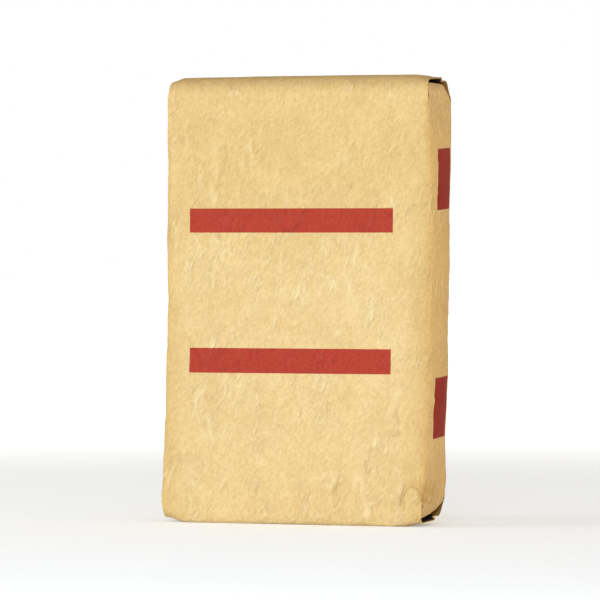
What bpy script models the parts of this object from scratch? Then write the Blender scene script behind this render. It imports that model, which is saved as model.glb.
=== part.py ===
"""A full 25 kg cement sack of kraft paper, standing on its folded bottom end.

The paper sack is one thin-walled piece. Its front and rear panels wrap over both ends as
full-width flaps, and its side panels tuck in under those flaps, which leaves an open pocket
at each of the four side corners. The dry mix fills the sack.

Metres, +Z up. The origin is on the floor under the middle of the sack. The front faces -Y.
"""

import math

import bmesh
import bpy
from mathutils import Matrix, Vector

# Outer size of the full sack, before its lean
WIDTH = 0.345
DEPTH = 0.100
HEIGHT = 0.565

# How far the top leans to the right of the bottom
LEAN = 0.0095

# Paper, and the gap between it and the mix
WALL = 0.0006
MIX_GAP = 0.0003

# The belly is the filled block. An ellipsoid rounds its corners, and its upright edges are
# softer half way up. Its upright faces are crowned, most of all low down.
END_RADII = Vector((0.007, 0.012, 0.009))
MIDDLE_RADII = Vector((0.024, 0.018, 0.009))
SIDE_CROWN = 0.002
FRONT_CROWN = 0.0028
SAG = 0.25

# The wraps are the front and rear panels where they are folded over the two ends. They lie a
# little behind the belly's crown. The legs of a wrap run down the panels, narrow as they go,
# and sink into the belly at their ends.
WRAP_THICKNESS = 0.0012
WRAP_RADIUS = 0.0125
WRAP_SETBACK = 0.0022
WRAP_HALF_DEPTH = DEPTH / 2 - WRAP_SETBACK
WRAP_LENGTH = 0.042
WRAP_NARROWING = 0.005
WRAP_SINKING = 0.0055

# On the top, the front flap lies over the rear one and ends here
FLAP_EDGE_Y = 0.012

# The belly's skin lies inside the thickness of the wraps, so that they become one body
BELLY_IN_WRAP_TOP = 0.0018
BELLY_IN_WRAP_FRONT = 0.0008
BELLY_HALF = Vector(
    (
        WIDTH / 2 - SIDE_CROWN,
        WRAP_HALF_DEPTH - BELLY_IN_WRAP_FRONT,
        HEIGHT / 2 - BELLY_IN_WRAP_TOP,
    )
)
MIDDLE = Vector((0.0, 0.0, HEIGHT / 2))

# Steps of the belly's grid on each flat and round each corner, and of a wrap's round and leg
FLAT_STEPS = (6, 4, 8)
CORNER_STEPS = 3
ROUND_STEPS = 5
LEG_STEPS = 4

# The valve is a flat slit in the wall at the back of the top right-hand pocket
VALVE_SIZE = Vector((0.035, 0.060, 0.0012))
VALVE_FROM_SIDE = 0.020
VALVE_BELOW_TOP = 0.0036
VALVE_CENTRE = Vector((WIDTH / 2 - VALVE_FROM_SIDE, 0.0, HEIGHT - VALVE_BELOW_TOP))

# Points nearer to each other than this are one point
SAME_PLACE = 1e-6

KRAFT = (0.76, 0.58, 0.29)
KRAFT_ROUGHNESS = 0.75
CEMENT = (0.33, 0.32, 0.30)
CEMENT_ROUGHNESS = 0.95


def clear_scene():
    for obj in list(bpy.data.objects):
        bpy.data.objects.remove(obj, do_unlink=True)


def new_collection(name):
    collection = bpy.data.collections.new(name)
    bpy.context.scene.collection.children.link(collection)
    return collection


def material(name, colour, roughness):
    made = bpy.data.materials.new(name)
    made.use_nodes = True
    shader = made.node_tree.nodes["Principled BSDF"]
    shader.inputs["Base Color"].default_value = (*colour, 1.0)
    shader.inputs["Roughness"].default_value = roughness
    shader.inputs["Metallic"].default_value = 0.0
    return made


def add_leaning(name, bm, collection):
    """Makes an object of the shape, sheared to the right as the whole sack is."""
    slope = LEAN / HEIGHT
    bm.transform(Matrix.Translation((-LEAN / 2, 0, 0)) @ Matrix.Shear("XY", 4, (slope, 0)))
    mesh = bpy.data.meshes.new(name)
    bm.to_mesh(mesh)
    bm.free()
    mesh.shade_smooth()
    obj = bpy.data.objects.new(name, mesh)
    collection.objects.link(obj)
    return obj


def as_cutter(obj):
    obj.hide_render = True
    obj.display_type = "WIRE"
    return obj


def grid_places(axis):
    """Where the belly's block is divided along one axis: evenly on the flat, closer round the
    corners."""
    radius = MIDDLE_RADII[axis]
    flat = BELLY_HALF[axis] - radius
    steps = FLAT_STEPS[axis]
    places = [flat * (2 * i / steps - 1) for i in range(steps + 1)]
    for i in range(1, CORNER_STEPS):
        reach = flat + radius * math.tan(math.radians(45) * i / CORNER_STEPS)
        places += [-reach, reach]
    return places


def belly_point(place, inset):
    """Moves a point of the plain block to the belly's skin, or to that skin moved in by inset."""
    across, deep, up = (a / b for a, b in zip(place, BELLY_HALF))
    swell = 1 - up**4
    radii = END_RADII.lerp(MIDDLE_RADII, swell)
    limits = BELLY_HALF - radii
    core = Vector(max(-limit, min(limit, value)) for value, limit in zip(place, limits))
    outward = Vector((a - b) / r for a, b, r in zip(place, core, radii)).normalized()
    skin = Vector(b + (r - inset) * n for b, r, n in zip(core, radii, outward))
    skin.x += SIDE_CROWN * across * (1 - deep**2) * swell * (1 - SAG * up)
    skin.y += FRONT_CROWN * deep * (1 - across**4) * swell * (1 - SAG * up)
    return skin + MIDDLE


def belly(name, inset, collection):
    """The filled block as one closed mesh: a divided box whose points move to the belly's skin."""
    bm = bmesh.new()
    bmesh.ops.create_cube(bm, size=2.0, matrix=Matrix.Diagonal((*BELLY_HALF, 1.0)))
    for axis in range(3):
        normal = Vector((0.0, 0.0, 0.0))
        normal[axis] = 1.0
        for place in grid_places(axis):
            bmesh.ops.bisect_plane(
                bm,
                geom=bm.verts[:] + bm.edges[:] + bm.faces[:],
                dist=SAME_PLACE,
                plane_co=normal * place,
                plane_no=normal,
            )
    for vertex in bm.verts:
        vertex.co = belly_point(vertex.co, inset)
    bmesh.ops.recalc_face_normals(bm, faces=bm.faces[:])
    bmesh.ops.triangulate(bm, faces=bm.faces[:], quad_method="FIXED")
    return add_leaning(name, bm, collection)


def wrap_line(thickness):
    """One side of a wrap's outline, from the foot of its front leg up, over the end of the
    sack and down its rear leg: pairs of Y and the distance below the end."""
    radius = WRAP_RADIUS - thickness
    y = WRAP_HALF_DEPTH - WRAP_RADIUS
    leg = [
        WRAP_LENGTH + (WRAP_RADIUS - WRAP_LENGTH) * i / LEG_STEPS for i in range(LEG_STEPS)
    ]
    turns = [math.radians(90) * i / ROUND_STEPS for i in range(ROUND_STEPS + 1)]
    front = [(-y - radius, below) for below in leg]
    front += [(-y - radius * math.cos(a), WRAP_RADIUS - radius * math.sin(a)) for a in turns]
    rear = [(-y, below) for y, below in reversed(front)]
    return front, rear


def wrap_outline(step):
    """The front flap lies over the rear one, so the outline steps in where the front flap
    ends."""
    front, rear = wrap_line(0.0)
    inner_front, inner_rear = wrap_line(2 * WRAP_THICKNESS)
    rear = [(y, max(below, step)) for y, below in rear]
    flap_edge = [(FLAP_EDGE_Y, 0.0), (FLAP_EDGE_Y, step)] if step else []
    return front + flap_edge + rear + inner_rear[::-1] + inner_front[::-1]


def wrap(name, is_top, collection):
    """The wrap's flat outline, extruded across the sack, with its legs narrowed and sunk. The
    curve is flat in X and Y, so its axes are then swapped round to Y and Z."""
    outline = bpy.data.curves.new(name, "CURVE")
    outline.dimensions = "2D"
    outline.fill_mode = "BOTH"
    outline.extrude = WIDTH / 2
    spline = outline.splines.new("POLY")
    places = wrap_outline(WRAP_THICKNESS if is_top else 0.0)
    spline.points.add(len(places) - 1)
    for point, (y, below) in zip(spline.points, places):
        point.co = (y, HEIGHT - below if is_top else below, 0.0, 1.0)
    spline.use_cyclic_u = True
    flat = bpy.data.objects.new(name + "_outline", outline)
    collection.objects.link(flat)
    evaluated = flat.evaluated_get(bpy.context.evaluated_depsgraph_get())
    bm = bmesh.new()
    bm.from_mesh(bpy.data.meshes.new_from_object(evaluated))
    bpy.data.objects.remove(flat, do_unlink=True)
    bmesh.ops.remove_doubles(bm, verts=bm.verts[:], dist=SAME_PLACE)
    bm.transform(Matrix(((0, 0, 1, 0), (1, 0, 0, 0), (0, 1, 0, 0), (0, 0, 0, 1))))
    for vertex in bm.verts:
        below = min(vertex.co.z, HEIGHT - vertex.co.z)
        down = max(0.0, (below - WRAP_RADIUS) / (WRAP_LENGTH - WRAP_RADIUS)) ** 2
        vertex.co.x -= math.copysign(WRAP_NARROWING * down, vertex.co.x)
        vertex.co.y -= math.copysign(WRAP_SINKING * down, vertex.co.y)
    bmesh.ops.recalc_face_normals(bm, faces=bm.faces[:])
    return add_leaning(name, bm, collection)


def valve_slit(name, collection):
    bm = bmesh.new()
    place = Matrix.Translation(VALVE_CENTRE) @ Matrix.Diagonal((*VALVE_SIZE, 1.0))
    bmesh.ops.create_cube(bm, size=1.0, matrix=place)
    return add_leaning(name, bm, collection)


def join(target, operation, other):
    modifier = target.modifiers.new(f"{operation.lower()}_{other.name}", "BOOLEAN")
    modifier.operation = operation
    modifier.object = as_cutter(other)


def paper_sack(parts, cutters):
    """The belly joined with the wraps of its ends, hollowed, with its valve open."""
    sack = belly("paper_sack", 0.0, parts)
    join(sack, "UNION", wrap("top_wrap", True, cutters))
    join(sack, "UNION", wrap("bottom_wrap", False, cutters))
    join(sack, "DIFFERENCE", belly("sack_hollow", WALL, cutters))
    join(sack, "DIFFERENCE", valve_slit("valve_slit", cutters))
    sack.data.materials.append(material("kraft_paper", KRAFT, KRAFT_ROUGHNESS))


def dry_mix(parts):
    """The cement and sand, packed against the inside of the paper."""
    mix = belly("dry_mix", WALL + MIX_GAP, parts)
    mix.data.materials.append(material("cement_mix", CEMENT, CEMENT_ROUGHNESS))


def build():
    clear_scene()
    parts = new_collection("cement_sack")
    cutters = new_collection("cutters")
    paper_sack(parts, cutters)
    dry_mix(parts)


build()
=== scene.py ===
# %% [markdown]
# # A full cement sack
# A 25 kg sack of dry mix stands on its folded bottom end. The paper sack and its filling are
# dressed over a fixed frame of simple solids, and this file builds them step by step: the
# filled block, the pressure that swells it, the folded ends with their open corner pockets, the
# crumpling of the paper, and last the kraft paper and its printed bars.

# %% Load the frame
import math

import bmesh
import bpy
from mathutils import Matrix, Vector, noise


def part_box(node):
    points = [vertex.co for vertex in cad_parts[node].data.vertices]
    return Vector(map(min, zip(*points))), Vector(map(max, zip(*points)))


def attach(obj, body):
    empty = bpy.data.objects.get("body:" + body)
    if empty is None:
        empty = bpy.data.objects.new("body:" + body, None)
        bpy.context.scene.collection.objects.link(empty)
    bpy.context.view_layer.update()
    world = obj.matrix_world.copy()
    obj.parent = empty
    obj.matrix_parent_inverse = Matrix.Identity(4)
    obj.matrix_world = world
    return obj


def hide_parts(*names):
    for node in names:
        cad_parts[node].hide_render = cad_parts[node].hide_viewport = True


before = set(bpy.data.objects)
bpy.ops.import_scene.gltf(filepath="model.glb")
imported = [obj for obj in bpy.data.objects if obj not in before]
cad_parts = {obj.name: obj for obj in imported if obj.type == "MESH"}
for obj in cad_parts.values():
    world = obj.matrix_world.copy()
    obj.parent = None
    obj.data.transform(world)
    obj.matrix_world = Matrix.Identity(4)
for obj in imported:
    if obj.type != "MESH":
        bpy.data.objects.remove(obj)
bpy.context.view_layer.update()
low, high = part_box("paper_sack")
print("frame box", [round(v, 4) for v in (*low, *high)])

# %% [markdown]
# ## Sizes
# Width and height are read from the frame. The frame leans: its top is shifted to the right.
# The sack is modelled upright first and sheared at the very end, because flat, square panels
# are much easier to select and cut than leaning ones.

# %% Driving sizes
LEAN = 0.0095
WIDTH = high[0] - low[0] - LEAN
HEIGHT = high[2] - low[2]
HALF_WIDTH = WIDTH / 2
MIDDLE = HEIGHT / 2
HALF_DEPTH = 0.0478
CELL = 0.0052
print(f"upright sack {WIDTH * 1000:.0f} x {HALF_DEPTH * 2000:.0f} x {HEIGHT * 1000:.0f} mm")

# %% [markdown]
# ## Selecting by place
# A person clicks on the faces they want. A script picks them by where they are and which way
# they point. These helpers open a piece in edit mode and select only what passes a test.

# %% Selection helpers
# How much of a face's normal points a way for the face to count as facing it
FACING = 0.7


def select_only(piece):
    bpy.ops.object.select_all(action="DESELECT")
    bpy.context.view_layer.objects.active = piece
    piece.select_set(True)


def edit(piece):
    """Opens the piece, and nothing else, in edit mode."""
    select_only(piece)
    bpy.ops.object.mode_set(mode="EDIT")


def leave_edit():
    bpy.ops.object.mode_set(mode="OBJECT")


def select(piece, kind, test):
    """In edit mode, selects only the points, edges or faces that pass the test."""
    bpy.ops.mesh.select_mode(type=kind)
    bpy.ops.mesh.select_all(action="DESELECT")
    shape = bmesh.from_edit_mesh(piece.data)
    items = {"VERT": shape.verts, "EDGE": shape.edges, "FACE": shape.faces}[kind]
    chosen = [item for item in items if test(item)]
    for item in chosen:
        item.select_set(True)
    shape.select_flush_mode()
    bmesh.update_edit_mesh(piece.data)
    return len(chosen)


# %% Measuring helpers


def smoothstep(low_value, high_value, value):
    """0 below the low value, 1 above the high one, and a soft ramp between them."""
    t = min(1.0, max(0.0, (value - low_value) / (high_value - low_value)))
    return t * t * (3 - 2 * t)


def straight_step(low_value, high_value, value):
    """0 below the low value, 1 above the high one, and a straight ramp between them."""
    return min(1.0, max(0.0, (value - low_value) / (high_value - low_value)))


def mix(a, b, share):
    return a + (b - a) * share


def from_end(z):
    """How far a height is from the nearer end of the sack."""
    return min(z, HEIGHT - z)


def end_of(z):
    """1 for the upper half of the sack and -1 for the lower half."""
    return 1 if z > MIDDLE else -1


# %% [markdown]
# ## The filled block
# The filler packs the mix into a plain block. A cube at the sack's size is divided into
# cells of about 5 mm, edge direction by edge direction, which is what Subdivide does when only
# parallel edges are selected. Even cells matter, because cloth bends where its edges are.

# %% A divided cube
bpy.ops.object.select_all(action="DESELECT")
bpy.ops.mesh.primitive_cube_add(size=1, location=(0, 0, MIDDLE))
sack = bpy.context.object
sack.name = sack.data.name = "kraft_sack"
sack.scale = (WIDTH, 2 * HALF_DEPTH, HEIGHT)
bpy.ops.object.transform_apply(location=True, rotation=False, scale=True)
edit(sack)
for axis, length in enumerate((WIDTH, 2 * HALF_DEPTH, HEIGHT)):

    def along_axis(edge):
        return abs((edge.verts[0].co - edge.verts[1].co)[axis]) > length / 2

    select(sack, "EDGE", along_axis)
    bpy.ops.mesh.subdivide(number_cuts=round(length / CELL) - 1)
leave_edit()
print("block faces", len(sack.data.polygons))

# %% [markdown]
# ## Rounding
# At the two ends the front and rear panels turn over with a radius of about 12 mm, while their
# side edges are sharp folds. Between the ends the filling pushes the same folds out into soft
# rounds. A point in the corner of a rectangle is pulled onto the ellipse that rounds it. That is
# done twice: once seen from the side, and once seen from above.

# %% Round the block
WRAP_RADIUS = 0.0125
FOLD_RADIUS = 0.001
SOFT_RADII = (0.017, 0.015)
FOLD_LENGTH = 0.03
SOFT_LENGTH = 0.1


def softness(z):
    """0 where the side folds are sharp, near the ends, and 1 where they are soft."""
    return smoothstep(FOLD_LENGTH, SOFT_LENGTH, from_end(z))


def round_corner(a, b, half_a, half_b, radius_a, radius_b):
    """Pulls a point in a rectangle's corner onto the ellipse that rounds it."""
    core_a = max(radius_a - half_a, min(half_a - radius_a, a))
    core_b = max(radius_b - half_b, min(half_b - radius_b, b))
    u = (a - core_a) / radius_a
    v = (b - core_b) / radius_b
    if u == 0 or v == 0:
        return a, b
    pull = max(abs(u), abs(v)) / math.hypot(u, v)
    return mix(core_a, a, pull), mix(core_b, b, pull)


for vertex in sack.data.vertices:
    x, y, z = vertex.co
    y, up = round_corner(y, z - MIDDLE, HALF_DEPTH, MIDDLE, WRAP_RADIUS, WRAP_RADIUS)
    radii = [mix(FOLD_RADIUS, radius, softness(z)) for radius in SOFT_RADII]
    x, y = round_corner(x, y, HALF_WIDTH, HALF_DEPTH, *radii)
    vertex.co = (x, y, up + MIDDLE)
print("rounded", len(sack.data.vertices), "points")

# %% [markdown]
# ## Pressure
# The mix inside presses on the paper. A cloth simulation with internal pressure swells the
# panels, draws the upright edges in and leaves soft tension that no formula gives. The ends are
# glued and stacked flat, so they are pinned: a short way in the middle of a panel, and further
# at its side folds, where the corner pockets hold the paper flat.

# %% Pin the ends
PIN_IN_MIDDLE = 0.014
PIN_AT_SIDES = 0.038
PIN_FADE = 0.045
SIDE_ZONE = (0.105, 0.16)

pin = sack.vertex_groups.new(name="pin")
for vertex in sack.data.vertices:
    at_side = smoothstep(*SIDE_ZONE, abs(vertex.co.x))
    pinned = mix(PIN_IN_MIDDLE, PIN_AT_SIDES, at_side)
    held = 1 - smoothstep(pinned, pinned + PIN_FADE, from_end(vertex.co.z))
    pin.add([vertex.index], held, "REPLACE")

# %% Swell the sack
SWELL_CAP = 0.0045
CLOTH_FRAMES = 20

before = [vertex.co.copy() for vertex in sack.data.vertices]
cloth = sack.modifiers.new("pressure", "CLOTH")
settings = cloth.settings
settings.quality = 6
settings.mass = 0.2
settings.tension_stiffness = 60
settings.compression_stiffness = 60
settings.shear_stiffness = 30
settings.bending_stiffness = 2.0
settings.air_damping = 2.0
settings.vertex_group_mass = "pin"
settings.pin_stiffness = 1.0
settings.use_pressure = True
settings.uniform_pressure_force = 2.5
settings.effector_weights.gravity = 0
cloth.point_cache.frame_start = 1
cloth.point_cache.frame_end = CLOTH_FRAMES
for step in range(1, CLOTH_FRAMES + 1):
    bpy.context.scene.frame_set(step)
select_only(sack)
bpy.ops.object.modifier_apply(modifier="pressure")
bpy.context.scene.frame_set(1)

moved = 0.0
for vertex, start in zip(sack.data.vertices, before):
    shift = vertex.co - start
    if shift.length > SWELL_CAP:
        shift *= SWELL_CAP / shift.length
    vertex.co = start + shift
    moved = max(moved, shift.length)
print(f"swelled by up to {moved * 1000:.1f} mm")

# %% [markdown]
# ## The filling
# The mix is hidden, but a sack is never hollow: it takes the shape of the paper round it. So it
# is a copy of the swollen block, a little smaller. It is narrower at its ends, because powder
# doesn't run up into the folded corners, and its surface is lumpy.

# %% Copy the block for the filling
FILL_SCALE = (0.972, 0.925, 0.945)
FILL_TAPER = 0.27
TAPER_ZONE = (0.03, 0.085)
LUMP_SIZE = 0.02
LUMP_HEIGHT = 0.0012

select_only(sack)
bpy.ops.object.duplicate()
fill = bpy.context.object
fill.name = fill.data.name = "cement_fill"
normals = [vertex.normal.copy() for vertex in fill.data.vertices]
for vertex, normal in zip(fill.data.vertices, normals):
    x, y, z = vertex.co
    narrowed = 1 - FILL_TAPER * (1 - smoothstep(*TAPER_ZONE, from_end(z)))
    place = (x * FILL_SCALE[0] * narrowed, y * FILL_SCALE[1], MIDDLE + (z - MIDDLE) * FILL_SCALE[2])
    lump = LUMP_HEIGHT * noise.fractal(vertex.co / LUMP_SIZE, 1.0, 2.0, 3)
    vertex.co = Vector(place) + normal * lump
print("filling", len(fill.data.polygons), "faces")

# %% [markdown]
# ## The flap edge
# The front flap of each end is pasted over the rear one and stops a little behind the middle.
# Bisect draws the two lines of that small step across the end and down into the side panels.
# The rear part is lowered later, once the pockets are cut.

# %% Cut the flap line
FLAP_EDGE_Y = 0.012
FLAP_STEP = 0.0012
STEP_SLOPE = 0.0003
POCKET_HEIGHT = 0.037


def at_flap_line(face):
    place = face.calc_center_median()
    near_line = abs(place.y - FLAP_EDGE_Y) < CELL
    on_end = abs(face.normal.z) > FACING
    on_side = abs(face.normal.x) > FACING and from_end(place.z) < POCKET_HEIGHT
    return near_line and (on_end or on_side)


edit(sack)
for line in (FLAP_EDGE_Y, FLAP_EDGE_Y + STEP_SLOPE):
    select(sack, "FACE", at_flap_line)
    bpy.ops.mesh.bisect(plane_co=(0, line, 0), plane_no=(0, 1, 0))
leave_edit()
print("faces with the flap lines", len(sack.data.polygons))

# %% [markdown]
# ## Corner pockets
# The side panels tuck in under the end flaps, which leaves a flat open pocket at each of the
# four corners. Seen from the side, the paper's cut edge runs round the pocket, then comes a
# dark gap, and then the soft pillow of the side panel. Two insets make the edge and the gap.
# The second one also sinks the panel by the pocket's depth, and extruding it back out in steps
# leaves the gap standing open behind it.

# %% Open the pockets
PLY_EDGE = 0.0011
GAP = 0.0028
LEVELS = (0.0, 0.008, 0.022, 0.04)
POCKET_DEPTH = LEVELS[-1]

mouth = sack.vertex_groups.new(name="mouth")
pocket = sack.vertex_groups.new(name="pocket")


def assign(group):
    sack.vertex_groups.active_index = group.index
    bpy.ops.object.vertex_group_assign()


def members(group):
    return {v.index for v in sack.data.vertices if any(g.group == group.index for g in v.groups)}


def open_pocket(side, end):
    def side_panel(face):
        place = face.calc_center_median()
        facing = side * face.normal.x > FACING
        return facing and end_of(place.z) == end and from_end(place.z) < POCKET_HEIGHT

    count = select(sack, "FACE", side_panel)
    bpy.ops.mesh.inset(thickness=PLY_EDGE)
    assign(mouth)
    bpy.ops.mesh.inset(thickness=GAP, depth=-POCKET_DEPTH)
    assign(pocket)
    for deeper, shallower in zip(LEVELS[::-1], LEVELS[-2::-1]):
        step = (side * (deeper - shallower), 0, 0)
        bpy.ops.mesh.extrude_region_move(TRANSFORM_OT_translate={"value": step})
    return count


edit(sack)
for side in (-1, 1):
    for end in (-1, 1):
        print("pocket", side, end, open_pocket(side, end), "faces")
leave_edit()
inside = members(pocket)
rim = members(mouth) - inside

# %% [markdown]
# ## Shaping the corners
# What follows is what a sculptor does with the grab brush, written as offsets. The gap closes
# towards the middle of the sack, the pillow sinks away from the flap and rolls inwards at its
# rim, and each loose corner of the flaps sags or curls by a few millimetres.

# %% Sizes of each corner
# Heights away from the end, in metres: the front corner, the free end of the front flap, the
# start of the rear flap, its rear corner, and the pillow's rim at the front and at the rear.
# The last number is how far the corner is pinched in sideways.
CORNERS = {
    (1, 1): (0.0043, 0.0022, 0.0046, 0.023, 0.0055, 0.007, 0.0),
    (1, -1): (0.0056, 0.0067, 0.0096, 0.0285, 0.005, 0.0165, 0.0),
    (-1, 1): (0.005, 0.0022, 0.004, 0.015, 0.004, 0.008, 0.0034),
    (-1, -1): (0.0072, 0.005, 0.007, 0.018, 0.006, 0.014, 0.003),
}
FRONT_REACH = {1: 0.018, -1: 0.036}
REAR_REACH = 0.045
REACH_BLEND = (-0.01, 0.02)
REAR_SAG_Y = 0.03
CORNER_FADE = (0.002, 0.037)
NOTCH_DEPTH = 0.0014
NOTCH_WIDTH = 0.005
ROUND_START = 0.024
ROUND_SINK = {1: 0.0105, -1: 0.0085}
FLAP_LIP = {1: 0.001, -1: 0.0}
FLOOR_SHARE = 0.5
# Amounts of painted shade written into the hidden attribute: along each pocket's rim and inside the
# rear ear, where the kraft is turned brown as if in shadow.
MOUTH_SHADE = 0.03
REAR_SHADE = 0.034


def flap_drop(side, end, x, y, distance):
    """How far the flap's corner, and the panel below it, moves away from the end plane."""
    front, free_end, rear_start, rear_corner = CORNERS[side, end][:4]
    if y < FLAP_EDGE_Y + STEP_SLOPE / 2:
        drop = mix(front, free_end, smoothstep(-HALF_DEPTH, FLAP_EDGE_Y, y))
    else:
        drop = mix(rear_start, rear_corner, smoothstep(REAR_SAG_Y, HALF_DEPTH, y))
        drop += NOTCH_DEPTH * math.exp(-(((y - FLAP_EDGE_Y) / NOTCH_WIDTH) ** 2))
    reach = mix(FRONT_REACH[end], REAR_REACH, smoothstep(*REACH_BLEND, y))
    near_side = 1 - smoothstep(0, reach, HALF_WIDTH - side * x)
    return drop * near_side * (1 - straight_step(*CORNER_FADE, distance))


# %% Move the corners
GAP_OPEN = 0.012
GAP_CLOSED = 0.029
PILLOW_FADE = (0.004, 0.033)
PILLOW_SPREAD = 0.0028
ROLL = 0.0036
ROLL_LENGTH = 0.016
SIDE_ROLL = 0.0008
PINCH_REACH = 0.04
PINCH_FADE = 0.03
WELD = 0.0002

# hidden collects each point's painted pocket shade, 0 outside the pockets; the same values also steer
# how the pillow sinks and spreads.
hidden = []
for vertex in sack.data.vertices:
    x, y, z = vertex.co
    side = 1 if x > 0 else -1
    end = end_of(z)
    distance = from_end(z)
    still_open = 1 - smoothstep(GAP_OPEN, GAP_CLOSED, distance)
    hidden.append(0.0)
    if vertex.index in rim:
        hidden[-1] = MOUTH_SHADE * still_open
        z -= end * FLAP_LIP[end] * still_open
    pillow_front, pillow_rear, pinch = CORNERS[side, end][4:]
    if vertex.index in inside:
        depth = HALF_WIDTH - abs(x)
        level = min(LEVELS, key=lambda known: abs(known - depth))
        x += side * level * (1 - still_open)
        hidden[-1] = still_open * level / POCKET_DEPTH
        outwards = 1 - hidden[-1]
        follows = 1 - FLOOR_SHARE * hidden[-1]
        sink = mix(pillow_front, pillow_rear, y / (2 * HALF_DEPTH) + 0.5)
        sink += ROUND_SINK[end] * smoothstep(ROUND_START, HALF_DEPTH, y)
        if level == POCKET_DEPTH and y > REAR_SAG_Y:
            hidden[-1] = REAR_SHADE * still_open
        z -= end * sink * follows * (1 - straight_step(*PILLOW_FADE, distance))
        to_rim = distance - PLY_EDGE - GAP
        to_fold = HALF_DEPTH - PLY_EDGE - GAP - abs(y)
        roll = ROLL * max(0.0, 1 - to_rim / ROLL_LENGTH) ** 2
        roll += SIDE_ROLL * max(0.0, 1 - to_fold / ROLL_LENGTH) ** 2 * still_open
        x -= side * roll * outwards
        y += PILLOW_SPREAD * min(0.0, y) / HALF_DEPTH * outwards * still_open
    else:
        z -= end * flap_drop(side, end, x, y, distance)
        if y > FLAP_EDGE_Y + STEP_SLOPE / 2:
            z -= end * FLAP_STEP * (1 - straight_step(*CORNER_FADE, distance))
    near_side = 1 - smoothstep(0, PINCH_REACH, HALF_WIDTH - side * x)
    x -= side * pinch * near_side * (1 - smoothstep(0.0, PINCH_FADE, distance))
    vertex.co = (x, y, z)
in_pocket = sack.data.attributes.new("hidden", "FLOAT", "POINT")
in_pocket.data.foreach_set("value", hidden)
edit(sack)
select(sack, "VERT", lambda point: True)
bpy.ops.mesh.remove_doubles(threshold=WELD)
leave_edit()
print("sack faces with pockets", len(sack.data.polygons))

# %% [markdown]
# ## Creases and subdivision
# One level of subdivision smooths the whole sack. Edges that are real folds of the paper are
# creased first, fully near the ends and less further in, so they stay crisp.

# %% Crease the folds and subdivide
FOLD_ANGLE = math.radians(45)
FOLD_INSIDE = 0.0036
# Two stretches by their distances from the end, and how sharp the folds are in each
SHARPNESS = ((-0.001, 0.024, 0.9), (0.024, 0.034, 0.5))


def is_fold(edge, nearest, furthest):
    place = (edge.verts[0].co + edge.verts[1].co) / 2
    if not nearest <= from_end(place.z) < furthest or len(edge.link_faces) != 2:
        return False
    deep = HALF_WIDTH - abs(place.x) > ROLL and from_end(place.z) > FOLD_INSIDE
    return not deep and edge.calc_face_angle() > FOLD_ANGLE


edit(sack)
for nearest, furthest, hardness in SHARPNESS:
    count = select(sack, "EDGE", lambda edge: is_fold(edge, nearest, furthest))
    bpy.ops.transform.edge_crease(value=hardness)
    print("creased", count, "edges by", hardness)
leave_edit()
finer = sack.modifiers.new("finer", "SUBSURF")
finer.levels = finer.render_levels = 1
bpy.ops.object.modifier_apply(modifier="finer")
print("subdivided to", len(sack.data.polygons), "faces")

# %% [markdown]
# ## Crumpling
# Kraft paper remembers every knock. Its crumples are modelled in four sizes, as a sculptor
# would with four brushes: broad dents where the filling has settled, soft waves, flat facets
# about 2 cm across with blunt borders, and short sharp creases. A facet is a cell of a Voronoi
# pattern, and a crease is where a noise pattern passes through zero. Both lean to the right as
# they go up. The creases are also kept as a point attribute, so that they can be painted:
# lighter on a crest, as worn fibres and a painted highlight, and painted shade in a groove.
# The sharp upright folds near the ends get a painted highlight in the same attribute.

# %% Crumple patterns
DENT_SIZE = 0.085
DENT_DEPTH = 0.0016
WAVE_SIZE = 0.034
WAVE_DEPTH = 0.0006
SLANT = 0.42
WARP = 0.3
WARP_FINENESS = 1.3
FACET_SIZE = 0.021
FACET_DEPTH = 0.00045
FACET_STRETCH = 0.6
RIDGES = ((0.022, 0.00055, 0.42), (0.013, 0.00035, 0.45))
RIDGE_WIDTH = 0.17
LINE_SHOWS = 0.2
PATCHES = (-0.05, 0.3)
PATCH_SHARE = 1.8
# Offsets that keep one pattern from following another
WAVE_OFFSET = Vector((7, 3, 5))
PATCH_OFFSET = Vector((3, 9, 1))


def slanted(place, size, stretch):
    """The place in a pattern that is stretched upwards, slants, and is bent a little."""
    p = Vector((place.x - SLANT * place.z, place.y, place.z * stretch)) / size
    return p + WARP * noise.noise_vector(p * WARP_FINENESS)


def ridge(place, size, stretch):
    """1 along wandering lines that lean to the right as they go up, and 0 away from them."""
    return 1 - smoothstep(0.0, RIDGE_WIDTH, abs(noise.noise(slanted(place, size, stretch))))


def crumple(place):
    """The height of the crumpled paper over the smooth sack, and the ridges alone."""
    height = DENT_DEPTH * noise.fractal(place / DENT_SIZE, 1.0, 2.0, 2)
    height += WAVE_DEPTH * noise.fractal(place / WAVE_SIZE + WAVE_OFFSET, 0.8, 2.0, 3)
    near, far = noise.voronoi(slanted(place, FACET_SIZE, FACET_STRETCH))[0][:2]
    height -= FACET_DEPTH * smoothstep(0.0, 0.5, far - near)
    lines = 0.0
    for size, depth, stretch in RIDGES:
        patchy = noise.noise(place / (PATCH_SHARE * size) + PATCH_OFFSET)
        line = ridge(place, size, stretch) * smoothstep(*PATCHES, patchy)
        height += depth * line
        lines += LINE_SHOWS * line
    return height, lines
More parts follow.
